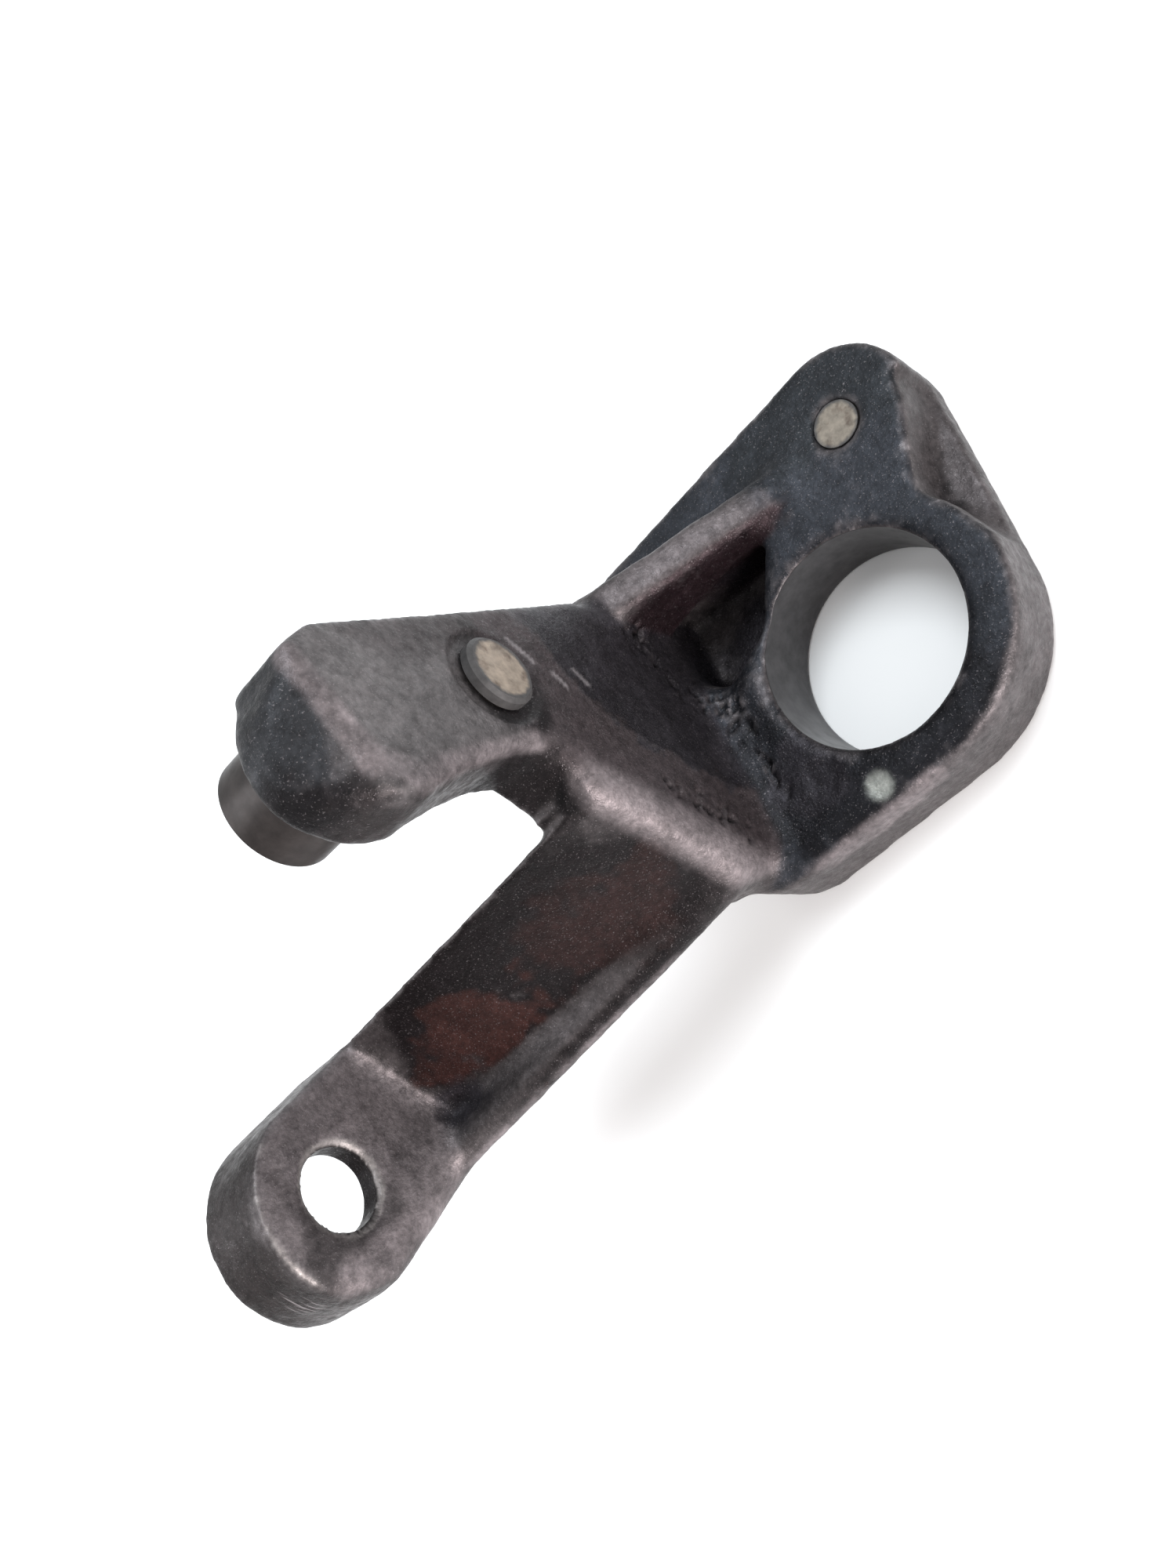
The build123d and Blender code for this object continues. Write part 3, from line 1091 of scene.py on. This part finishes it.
    def roughen(self, skin: SkinMesh, machined: Array) -> None:
        """Gives the skin its lumps, seam, spot face, pits and nicks.

        Args:
            skin: The casting's mesh, which is changed.
            machined: 1 on machined walls.
        """
        normal = skin.normals()
        free = (1.0 - machined) * smooth_step(*self.rest_band, skin.points[:, 2])
        swell = SWELL.lift(skin.points)
        pebble = PEBBLE.lift(skin.points)
        across = (self.seam_offset(skin) + WANDER.at(skin.points)) / self.seam_width
        seam = np.exp(-(across**2)) * self.on_wall(skin, self.seam_top)
        around_stud = np.hypot(skin.points[:, 1] - self.stud[0], skin.points[:, 2] - self.stud[1])
        spot = smooth_step(*self.spot_edge, around_stud) * self.on_wall(skin, self.spot_top)
        lift = (swell + pebble) * free + self.seam_height * MM * seam - self.sunk * MM * spot
        for dent in self.dents:
            lift -= dent.weight(skin.points) * dent.depth * MM
        lift -= self.sunk * MM * self.pits(skin) * free
        skin.points += normal * lift[:, None]

    def paint_wall(self, coats: Coats, skin: SkinMesh, uneven: Unevenness) -> None:
        """Paints the wall on each side of its seam, a painted highlight on its ridge and painted
        shade in the pits.

        Args:
            coats: The paint so far.
            skin: The finished mesh.
            uneven: What breaks the paint up.
        """
        top, edge = 47.0, 0.7
        rough, blotch, fleck = self.seam_shares
        ragged = rough * uneven.rough + blotch * uneven.blotch + fleck * uneven.fleck
        side = smooth_step(-edge, edge, self.seam_offset(skin) + ragged)
        wall = self.on_wall(skin, top)
        coats.lay(SEAM_BROWN, wall * (1 - side) * 0.9, oil=0.3)
        coats.lay(OIL_AND_SHADE_BLACK, wall * side * 0.85, oil=0.7)
        # Painted highlight on the ridge where the long arm leaves the wall
        coats.lay(HIGHLIGHT_GREY, 0.9 * self.ridge_highlight.weight(skin.points))
        # Painted shade in the open pits
        coats.lay(SHADE_BLACK, 0.8 * self.pits(skin))

    def paint_edges_and_corners(self, coats: Coats, skin: SkinMesh, uneven: Unevenness) -> None:
        """Paints painted shade in the hollow corners, wear and painted highlights on the edges, and
        the scratches.

        Args:
            coats: The paint so far.
            skin: The finished mesh.
            uneven: What breaks the paint up.
        """
        x, y, z = (skin.points / MM).T
        proud = skin.crown(self.proud_rounds) / MM
        deep = skin.crown(self.deep_rounds) / MM
        # Painted shade in the hollow corners
        coats.lay(SHADED_CORNERS.colour, SHADED_CORNERS.cover(deep, uneven))
        # Wear with painted highlights on the edges that stand proud
        for coat in (RUBBED_AND_LIT_EDGES, BARE_AND_GLINTING_EDGES):
            coats.lay(coat.colour, coat.cover(proud, uneven))
        front = self.foot_x / MM
        behind, before = self.foot_edge
        at_foot = (x > front - behind) & (x < front + before) & (z - y > self.foot_edge_rise)
        # Painted highlight along the foot's front edge
        coats.lay(FOOT_EDGE_HIGHLIGHT.colour, FOOT_EDGE_HIGHLIGHT.cover(proud, uneven) * at_foot)
        broken = uneven.mixed(0.75, fleck=0.0, rough=0.4, blotch=0.3).clip(0, 1)
        # Painted highlights along the listed rounded edges
        for edge in self.edge_highlights:
            coats.lay(HIGHLIGHT_GREY, edge.weight(skin.points) * broken)
        for scratch in self.scratches:
            coats.lay(STEEL_AND_GLINT_GREY, 0.5 * scratch.weight(skin.points))

    def paint_eye(self, coats: Coats, skin: SkinMesh, uneven: Unevenness) -> None:
        """Paints the eye's bright lip and painted shade on its wall.

        Args:
            coats: The paint so far.
            skin: The finished mesh.
            uneven: What breaks the paint up.
        """
        lip_depth, dark_front, flecks = 1.2, 0.8, 0.25
        x, y, z = (skin.points / MM).T
        front = self.foot_x / MM
        ring = np.hypot(y - self.eye[0] / MM, z - self.eye[1] / MM)
        lip = smooth_step(*self.eye_lip, ring + flecks * uneven.fleck)
        lip = lip * (x > (front - lip_depth)) * (ring > self.eye_lip_inside)
        coats.lay(LIP_GREY, 0.8 * lip)
        # Painted shade on the eye's inner wall
        dark = 0.9 * smooth_step(*self.eye_dark, ring)
        coats.lay(SHADE_BROWN, dark * (x < (front - dark_front)) * (x > self.eye_dark_back))

    def paint(self, skin: SkinMesh) -> Array:
        """Colours the skin by where it lies, how proud it stands and how deep it sits.

        Args:
            skin: The finished mesh.

        Returns:
            One linear colour for each point, and how oily it is there.
        """
        normal = skin.normals()
        rough, fleck, blotch = (pattern.at(skin.points) for pattern in (ROUGH, FLECK, BLOTCH))
        uneven = Unevenness(fleck, rough, blotch)
        coats = Coats.plain(len(skin.points), MAUVE_GREY)
        for patch in self.patches:
            coats.lay(patch.colour, patch.cover(skin.points, normal, rough), patch.oil)
        self.paint_wall(coats, skin, uneven)
        self.paint_edges_and_corners(coats, skin, uneven)
        self.paint_eye(coats, skin, uneven)
        shift = 0.4 * MM * fleck
        nick = self.dents[0].weight(skin.points + normal * shift[:, None])
        coats.lay(PALE_NICK, nick * (skin.points[:, 2] / MM > self.nick_low))
        coats.shade(uneven.mixed(1.0, fleck=0.25, rough=0.22, blotch=0.18))
        return coats.layers

    def build(self) -> bpy.types.Object:
        """Makes the rough casting and puts it in the place of the CAD solid.

        Returns:
            The casting.
        """
        skin = SkinMesh.from_object(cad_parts[self.node], self.voxel)
        LOG.info("casting: %d points", len(skin.points))
        self.round_off(skin)
        machined = self.true_up(skin)
        self.roughen(skin, machined)
        paint = self.paint(skin)
        mesh = bpy.data.meshes.new("casting_skin")
        mesh.from_pydata(skin.points.tolist(), [], skin.faces)
        mesh.update()
        layer = mesh.color_attributes.new(PAINT, "FLOAT_COLOR", "POINT")
        layer.data.foreach_set("color", paint.ravel())
        scored = mesh.attributes.new(SCORED, "FLOAT", "POINT")
        outside = np.hypot(*(skin.points[:, 1:] - np.array(self.eye)).T) > self.pocket_wall
        marks = sum(mark.weight(skin.points) for mark in self.scored)
        scored.data.foreach_set("value", marks * outside)
        mesh.polygons.foreach_set("use_smooth", [True] * len(mesh.polygons))
        mesh.materials.append(CAST_SKIN.build())
        mesh.materials.append(MACHINED.build())
        slots = [int(machined[list(face)].min() > 0.5) for face in skin.faces]
        mesh.polygons.foreach_set("material_index", slots)
        piece = bpy.data.objects.new("casting_skin", mesh)
        bpy.context.scene.collection.objects.link(piece)
        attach(piece, BODY)
        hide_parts(self.node)
        return piece


@dataclass
class FittedPins:
    """The ear's plug, the short arm's stud and the nose's pin, which keep their CAD shapes."""

    finishes: dict[str, Finish] = field(
        default_factory=lambda: {"ear_plug": PLUG_END, "arm_stud": STUD_END, "nose_pin": TURNED}
    )

    def build(self) -> list[bpy.types.Object]:
        """Gives each pin its finish.

        Returns:
            The pins.
        """
        pins = []
        for name, finish in self.finishes.items():
            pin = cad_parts[name]
            pin.data.materials.clear()
            pin.data.materials.append(finish.build())
            pins.append(pin)
        return pins


@dataclass(frozen=True)
class Lamp:
    """A square soft lamp.

    Attributes:
        name: Its name.
        place: Where it hangs, in metres.
        size: The length of its side, in metres.
        power: Its power, in watts.
        tint: Its colour, linear.
    """

    name: str
    place: Point
    size: float
    power: float
    tint: Colour


@dataclass
class Studio:
    """The floor, the light and the camera.

    Attributes:
        eye: The camera's place, in millimetres.
        right: The camera's right-hand direction.
        up: The camera's upward direction.
        lens: The camera's focal length, in millimetres.
        sensor: The width of its sensor, in millimetres.
        nearest: How near to it things still show, in metres.
        target: The place that the lamps face, in millimetres.
        lamps: The lamps.
        room_light: The strength of the even white light of the room.
        floor_size: How far the floor goes to each side, in metres.
        floor_gap: How far it lies below the flange, in metres.
    """

    eye: Point = (44.05, -63.59, 148.38)
    right: Point = (0.6524, -0.3897, -0.6500)
    up: Point = (0.5600, 0.8258, 0.0670)
    lens: float = 27.05
    sensor: float = 36.0
    nearest: float = 0.005
    target: Point = (-30, -5, 30)
    lamps: tuple[Lamp, ...] = (
        Lamp("overhead", (0.25, 0.35, 0.85), 0.5, 7.0, (0.90, 0.96, 1.0)),
        Lamp("low_side", (0.32, -0.68, 0.20), 0.35, 8.5, (1.0, 0.93, 0.91)),
        Lamp("behind", (-0.6, 0.1, 0.65), 0.4, 2.5, (0.94, 0.97, 1.0)),
    )
    room_light: float = 0.75
    floor_size: float = 3.0
    floor_gap: float = 0.05 * MM

    def floor(self) -> bpy.types.Object:
        """Lays a plain pale floor under the flange.

        Returns:
            The floor.
        """
        size = self.floor_size
        mesh = bpy.data.meshes.new("floor")
        corners = [(-size, -size, 0), (size, -size, 0), (size, size, 0), (-size, size, 0)]
        mesh.from_pydata(corners, [], [(0, 1, 2, 3)])
        mesh.materials.append(FLOOR.build())
        floor = bpy.data.objects.new("floor", mesh)
        floor.location.z = -self.floor_gap
        bpy.context.scene.collection.objects.link(floor)
        return floor

    def hang(self, lamp: Lamp) -> None:
        """Hangs a lamp so that it faces the bracket.

        Args:
            lamp: The lamp.
        """
        light = bpy.data.lights.new(lamp.name, "AREA")
        light.size = lamp.size
        light.energy = lamp.power
        light.color = lamp.tint
        hung = bpy.data.objects.new(lamp.name, light)
        place = Vector(lamp.place)
        hung.location = place
        target = Vector(self.target) * MM
        hung.rotation_euler = (target - place).to_track_quat("-Z", "Y").to_euler()
        bpy.context.scene.collection.objects.link(hung)

    def light(self) -> None:
        """Lights the bracket with cool light from above and warm light from its low side."""
        world = bpy.data.worlds.new("room")
        world.use_nodes = True
        background = world.node_tree.nodes["Background"]
        background.inputs["Color"].default_value = (1.0, 1.0, 1.0, 1.0)
        background.inputs["Strength"].default_value = self.room_light
        bpy.context.scene.world = world
        for lamp in self.lamps:
            self.hang(lamp)

    def camera(self) -> None:
        """Sets the camera up."""
        right, up = Vector(self.right).normalized(), Vector(self.up)
        back = right.cross(up).normalized()
        up = back.cross(right)
        data = bpy.data.cameras.new("camera")
        data.lens = self.lens
        data.sensor_width = self.sensor
        data.clip_start = self.nearest
        camera = bpy.data.objects.new("camera", data)
        turn = Matrix((right, up, back)).transposed().to_4x4()
        camera.matrix_world = Matrix.Translation(Vector(self.eye) * MM) @ turn
        bpy.context.scene.collection.objects.link(camera)
        bpy.context.scene.camera = camera

    def build(self) -> None:
        """Sets up the floor, the light and the camera."""
        self.camera()
        self.light()
        self.floor()
        bpy.context.scene.view_settings.view_transform = "Standard"


def main() -> None:
    """Builds the studio, the casting and its pins, and logs how many faces the casting has."""
    logging.basicConfig(level=logging.INFO, format="%(name)s: %(message)s")
    Studio().build()
    LOG.info("studio ready")
    casting = Casting().build()
    LOG.info("%s: %d faces", casting.name, len(casting.data.polygons))
    for pin in FittedPins().build():
        LOG.info("%s: finished", pin.name)


if __name__ == "__main__":
    main()
